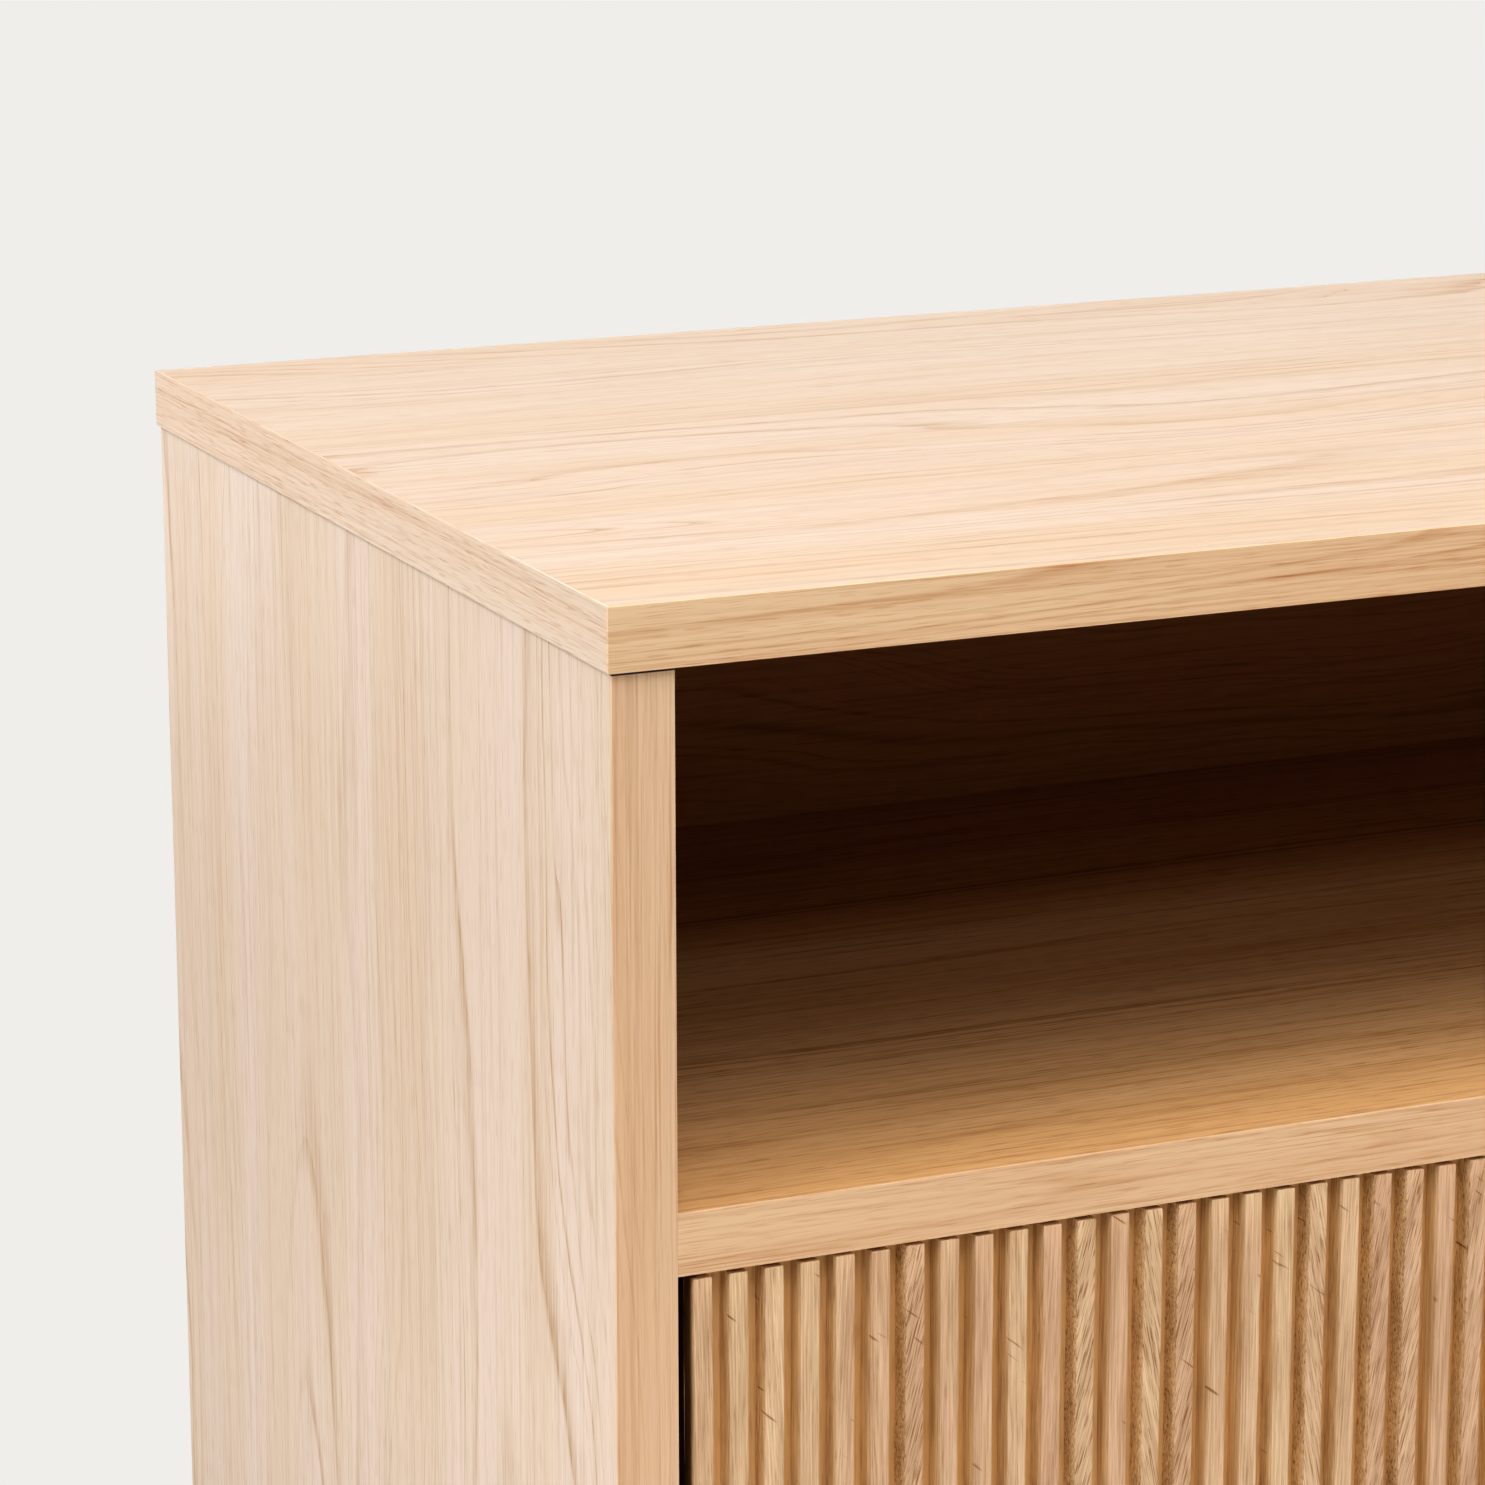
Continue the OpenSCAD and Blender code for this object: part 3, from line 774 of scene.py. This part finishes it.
def slat_mesh(sizes, low, high, seed):
    """One door's slats: bars with rounded front edges that a saw has left a little uneven."""
    draw = random.Random(seed)
    bm = bmesh.new()
    floats = bm.verts.layers.float
    marks = [floats.new(key) for key in ("slat_tone", "slat_slant", "slat_shift")]
    # The outermost flanks of a door are marked for the painted shade of the gap beside it.
    door_gap_shade = floats.new("door_gap_shade")
    width, edge, waver = sizes.slat_width, sizes.slat_edge, sizes.slat_waver
    pitch = (high.x - low.x - width) / (sizes.slat_count - 1)
    back, front = high.y, low.y
    for number in range(sizes.slat_count):
        own = (draw.random(), draw.choice(SLAT_SLANTS), draw.random())
        left = low.x + number * pitch
        phases = [draw.uniform(0, WAVE) for _ in range(SLAT_WAVES)]
        lengths = [draw.uniform(*WAVE_LENGTHS) for _ in range(SLAT_WAVES)]
        start = low.z + draw.uniform(0.0, SHORT_BELOW)
        stop = high.z - draw.uniform(0.0, SHORT_ABOVE)
        heights = slat_heights(start, stop, edge)
        rings = []
        for index, z in enumerate(heights):
            pull = edge * END_PULL if index in (0, len(heights) - 1) else 0.0
            stray_left, stray_right, nick, _ = (
                1 + math.sin(phase + z / length * WAVE)
                for phase, length in zip(phases, lengths)
            )
            x0 = left + waver * EDGE_SWAY * stray_left + pull
            x1 = left + width - waver * EDGE_SWAY * stray_right - pull
            y0 = front + waver * nick * FACE_SWAY + pull
            outline = slat_outline(x0, x1, y0, back, edge)
            ring = [bm.verts.new((x, y, z)) for x, y in outline]
            for v in ring:
                for mark, value in zip(marks, own):
                    v[mark] = value
            if number == 0:
                ring[0][door_gap_shade] = ring[1][door_gap_shade] = 1.0
            if number == sizes.slat_count - 1:
                ring[-1][door_gap_shade] = ring[-2][door_gap_shade] = 1.0
            rings.append(ring)
        for below, above in zip(rings, rings[1:]):
            for i in range(len(below)):
                j = (i + 1) % len(below)
                bm.faces.new((below[i], below[j], above[j], above[i]))
        bm.faces.new(reversed(rings[0]))
        bm.faces.new(rings[-1])
    bmesh.ops.recalc_face_normals(bm, faces=bm.faces)
    return bm


class CABINET_OT_slats(Operator):
    """Build the slats of the four doors"""

    bl_idname = "cabinet.slats"
    bl_label = "Slats"

    def execute(self, context):
        sizes = context.scene.cabinet_sizes
        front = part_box("door_1_slats")[0][1] / MM
        solid = slat_oak("rustic_oak_slats", front, SLAT_HUES)
        for door in DOORS:
            node = f"door_{door}_slats"
            bm = slat_mesh(sizes, *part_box(node), seed=SLAT_SEED + door)
            mesh = bpy.data.meshes.new(f"door_{door}_oak_slats")
            bm.to_mesh(mesh)
            bm.free()
            slats = bpy.data.objects.new(f"door_{door}_oak_slats", mesh)
            context.scene.collection.objects.link(slats)
            mesh.materials.append(solid)
            mesh.shade_smooth()
            mesh.set_sharp_from_angle(angle=math.radians(SHARP_SLAT_EDGE))
            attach(slats, f"door_{door}")
            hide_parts(node)
        return {"FINISHED"}


# How far the roughness of a moulded or metal surface strays to either side, and the values of
# a noise between which its mottle goes from the first tone to the second.
ROUGHNESS_STRAY = 0.05
MOTTLE_RANGE = (0.3, 0.7)


def mottled(name, hues, size, roughness, metallic=0.0, relief=0.01):
    """A moulded, plated or turned surface with a fine mottle of two near tones.

    size is the mottle's grain in millimetres.
    """
    material, tree = new_material(name)
    mottle = add(
        tree, "TexNoise", {"Vector": place_in_mm(tree), "Scale": 1 / size, "Detail": 3.0}
    )
    low, high = MOTTLE_RANGE
    share = add(tree, "MapRange", {"Value": mottle, "From Min": low, "From Max": high})
    gloss = add(
        tree,
        "MapRange",
        {
            "Value": share,
            "To Min": roughness - ROUGHNESS_STRAY,
            "To Max": roughness + ROUGHNESS_STRAY,
        },
    )
    first, second = (linear(hue) for hue in hues)
    colour = add(
        tree, "Mix", {"Factor": share, "A": first, "B": second}, data_type="RGBA"
    )
    close_material(
        tree,
        {"Base Color": colour, "Roughness": gloss, "Metallic": metallic},
        mottle,
        relief,
    )
    return material


class CABINET_OT_fasteners(Operator):
    """Finish the cams, dowels and screws"""

    bl_idname = "cabinet.fasteners"
    bl_label = "Fasteners"

    def execute(self, context):
        # Zinc plate over rolled thread: bright and cold, with soft spread highlights.
        plated = mottled(
            "bright_zinc_plate", ("c3c6cc", "b4b8c0"),
            size=1.5, roughness=0.28, metallic=1.0,
        )
        # Die-cast zinc, left as it leaves the mould: a dull darker grey with a fine grain.
        cast = mottled(
            "zinc_die_casting", ("a2a4a8", "8f9195"),
            size=0.8, roughness=0.5, metallic=1.0, relief=0.02,
        )
        # Raw turned beech: even and warm, with rings much finer than oak's and no gloss.
        cut = {**STRIP, "seed": 20.0, "ring": 1.6}
        beech = oak(
            "raw_beech",
            "XYZ",
            cut,
            ("d3ab7c", "cfa474", "b98b5c"),
            (0.3, 0.3, 0.2),
            roughness=0.6,
        )
        dress(["cam_bolts", "back_panel_screws", "batten_screws", "latch_screws"], plated)
        dress(["cam_housings"], cast)
        dress(["dowels"], beech)
        return {"FINISHED"}


class CABINET_OT_fittings(Operator):
    """Finish the pins, bushes and latches of the doors"""

    bl_idname = "cabinet.fittings"
    bl_label = "Door fittings"

    def execute(self, context):
        # Turned bright steel: nearly a mirror, broken up a little by the lathe.
        steel = mottled(
            "turned_bright_steel", ("c6c6c8", "b5b6b9"),
            size=0.6, roughness=0.25, metallic=1.0,
        )
        # Moulded nylon: a milky warm white with a soft sheen.
        nylon = mottled("white_nylon", ("e6e5df", "dddcd5"), size=2.0, roughness=0.45)
        # Moulded ABS with a fine spark-eroded texture: an even matt grey.
        grey = mottled(
            "grey_moulded_plastic", ("9a9b9c", "8e8f91"), size=1.2, roughness=0.5
        )
        dress([f"door_{n}_pins" for n in DOORS], steel)
        dress([f"door_{n}_strike" for n in DOORS], steel)
        dress(["pivot_bushes"], nylon)
        dress(["latch_housings"], grey)
        dress([f"latch_{n}_plunger" for n in DOORS], nylon)
        return {"FINISHED"}


class CABINET_OT_outlets(Operator):
    """Finish the cable grommets"""

    bl_idname = "cabinet.outlets"
    bl_label = "Cable outlets"

    def execute(self, context):
        # Moulded ABS in black: a soft grey sheen on its rim, and dark inside the hole.
        black = mottled(
            "black_moulded_plastic", ("202020", "2b2b2b"), size=1.0, roughness=0.5
        )
        dress(["cable_grommets"], black)
        return {"FINISHED"}


class CABINET_OT_glides(Operator):
    """Finish the floor glides"""

    bl_idname = "cabinet.glides"
    bl_label = "Floor glides"

    def execute(self, context):
        # Hard nylon of nail-on glides: dark grey, and slightly polished.
        dark = mottled("hard_glide_plastic", ("5a5a5a", "4c4c4d"), size=1.0, roughness=0.45)
        dress(["floor_glides"], dark)
        return {"FINISHED"}


# The studio: name, centre, the point it faces, width and height, power in watts.
SOFTBOXES = (
    ("overhead_softbox", (0.1, -0.95, 2.37), (-0.1, -0.1, 0.45), (4.0, 1.53), 52.0),
    ("low_strip_softbox", (0.1, -1.96, 1.65), (-0.4, 0.05, 0.38), (1.2, 0.12), 6.5),
    ("left_softbox", (-2.6, -0.1, 1.9), (-0.8, -0.1, 0.35), (1.8, 1.6), 48.0),
    ("right_softbox", (2.6, -0.1, 1.9), (0.8, -0.1, 0.35), (1.8, 1.6), 48.0),
    ("rear_softbox", (0.0, 1.9, 0.4), (0.0, 0.2, 0.3), (2.6, 0.7), 14.0),
    ("front_bounce_card", (0.0, -0.68, 0.004), (0.0, -0.68, 1.0), (3.6, 0.84), 6.0),
    ("left_bounce_card", (-1.5, 0.0, 0.004), (-1.5, 0.0, 1.0), (1.2, 1.6), 2.4),
    ("right_bounce_card", (1.5, 0.0, 0.004), (1.5, 0.0, 1.0), (1.2, 1.6), 2.4),
)


# How bright the surroundings are: a pale backdrop behind, a dim room in front, and the part
# of the sky, from front to back, over which one turns into the other.
BACK_GLOW = 0.47
FRONT_GLOW = 0.02
GLOW_TURN = (-0.1, 0.3)

# The floor: its width and how far it lies under the glides, in metres, the grey that it throws
# back on the cabinet, and how near and how dark the contact shadow is.
FLOOR_WIDTH = 60.0
FLOOR_DROP = 0.0002
FLOOR_GREY = "959491"
SHADOW_REACH = 0.35
SHADOW_DARK = 0.35

# The camera: lens and sensor in millimetres, place in metres, and turns in degrees.
LENS = 123.8
SENSOR = 36.0
CAMERA_PLACE = (-1.2881, -1.4016, 0.8378)
YAW = 23.61
PITCH = 14.01
ROLL = -0.12


def softbox(name, centre, target, size, power):
    """A rectangular softbox or bounce card that faces target."""
    data = bpy.data.lights.new(name, "AREA")
    data.shape = "RECTANGLE"
    data.size, data.size_y = size
    data.energy = power
    lamp = bpy.data.objects.new(name, data)
    lamp.location = centre
    away = Vector(centre) - Vector(target)
    lamp.rotation_mode = "QUATERNION"
    lamp.rotation_quaternion = away.to_track_quat("Z", "Y")
    lamp.visible_camera = False
    bpy.context.scene.collection.objects.link(lamp)


def lay_floor(wall):
    """A matt floor that reads as plain and pale, but for the contact shadow on it."""
    bpy.ops.mesh.primitive_plane_add(size=FLOOR_WIDTH, location=(0, 0, -FLOOR_DROP))
    floor = bpy.context.object
    floor.name = "studio_floor"
    material, tree = new_material("pale_studio_floor")
    seen = add(tree, "LightPath").outputs["Is Camera Ray"]
    near = add(tree, "AmbientOcclusion", {"Distance": SHADOW_REACH}, samples=8)
    cast = add(
        tree, "MapRange", {"Value": near.outputs["AO"], "To Min": SHADOW_DARK}
    )
    matt = add(tree, "BsdfDiffuse", {"Color": linear(FLOOR_GREY)})
    pale = add(tree, "Emission", {"Color": wall, "Strength": cast})
    both = add(tree, "MixShader", (seen, matt, pale))
    add(tree, "OutputMaterial", {"Surface": both})
    floor.data.materials.append(material)


def surround(scene, wall):
    """A world that looks plain, and lights the cabinet more from behind than from in front."""
    world = bpy.data.worlds.new("studio")
    scene.world = world
    world.use_nodes = True
    tree = world.node_tree
    tree.nodes.clear()
    path = add(tree, "LightPath")
    way = add(tree, "SeparateXYZ", (add(tree, "TexCoord").outputs["Generated"],))
    backdrop = add(
        tree,
        "MapRange",
        {
            "Value": way.outputs["Y"],
            "From Min": GLOW_TURN[0],
            "From Max": GLOW_TURN[1],
            "To Min": FRONT_GLOW,
            "To Max": BACK_GLOW,
        },
    )
    bright = add(tree, "Background", {"Color": wall, "Strength": 1.0})
    dim = add(tree, "Background", {"Color": wall, "Strength": backdrop})
    both = add(tree, "MixShader", (path.outputs["Is Camera Ray"], dim, bright))
    add(tree, "OutputWorld", {"Surface": both})


def place_camera(scene):
    """A camera at CAMERA_PLACE, turned by YAW, PITCH and ROLL."""
    data = bpy.data.cameras.new("camera")
    data.lens, data.sensor_width = LENS, SENSOR
    data.clip_start, data.clip_end = 0.05, 200.0
    camera = bpy.data.objects.new("camera", data)
    scene.collection.objects.link(camera)
    yaw, pitch, roll = (math.radians(turn) for turn in (YAW, PITCH, ROLL))
    ahead = Vector(
        (
            math.sin(yaw) * math.cos(pitch),
            math.cos(yaw) * math.cos(pitch),
            -math.sin(pitch),
        )
    )
    right = Vector((math.cos(yaw), -math.sin(yaw), 0))
    up = right.cross(ahead)
    right, up = (
        right * math.cos(roll) + up * math.sin(roll),
        up * math.cos(roll) - right * math.sin(roll),
    )
    turn = Matrix((right, up, -ahead)).transposed()
    camera.matrix_world = Matrix.Translation(CAMERA_PLACE) @ turn.to_4x4()
    scene.camera = camera


class CABINET_OT_stage(Operator):
    """Set the floor, the soft lights, the surroundings and the camera"""

    bl_idname = "cabinet.stage"
    bl_label = "Stage"

    def execute(self, context):
        scene = context.scene
        wall = (*scene.cabinet_colours.wall, 1.0)
        lay_floor(wall)
        surround(scene, wall)
        for row in SOFTBOXES:
            softbox(*row)
        place_camera(scene)
        scene.view_settings.view_transform = "Standard"
        scene.view_settings.look = "High Contrast"
        return {"FINISHED"}


OPERATORS = (
    CABINET_OT_top,
    CABINET_OT_sides,
    CABINET_OT_shelves,
    CABINET_OT_back,
    CABINET_OT_plinth,
    CABINET_OT_door_boards,
    CABINET_OT_slats,
    CABINET_OT_fasteners,
    CABINET_OT_fittings,
    CABINET_OT_outlets,
    CABINET_OT_glides,
    CABINET_OT_stage,
)


class CABINET_PT_panel(Panel):
    """The cabinet's sizes, colours and pieces"""

    bl_idname = "CABINET_PT_panel"
    bl_label = "Media Cabinet"
    bl_space_type = "VIEW_3D"
    bl_region_type = "UI"
    bl_category = "Cabinet"

    def draw(self, context):
        for group in (context.scene.cabinet_sizes, context.scene.cabinet_colours):
            for name in type(group).__annotations__:
                self.layout.prop(group, name)
        for operator in OPERATORS:
            self.layout.operator(operator.bl_idname)


CLASSES = (CabinetSizes, CabinetColours, *OPERATORS, CABINET_PT_panel)


def register():
    """Register the classes and give the scene its sizes and colours."""
    for one in CLASSES:
        bpy.utils.register_class(one)
    bpy.types.Scene.cabinet_sizes = PointerProperty(type=CabinetSizes)
    bpy.types.Scene.cabinet_colours = PointerProperty(type=CabinetColours)


def unregister():
    """Undo register."""
    del bpy.types.Scene.cabinet_colours
    del bpy.types.Scene.cabinet_sizes
    for one in reversed(CLASSES):
        bpy.utils.unregister_class(one)


def main():
    """Make every piece in order."""
    register()
    for operator in OPERATORS:
        group, call = operator.bl_idname.split(".")
        getattr(getattr(bpy.ops, group), call)()


if __name__ == "__main__":
    main()
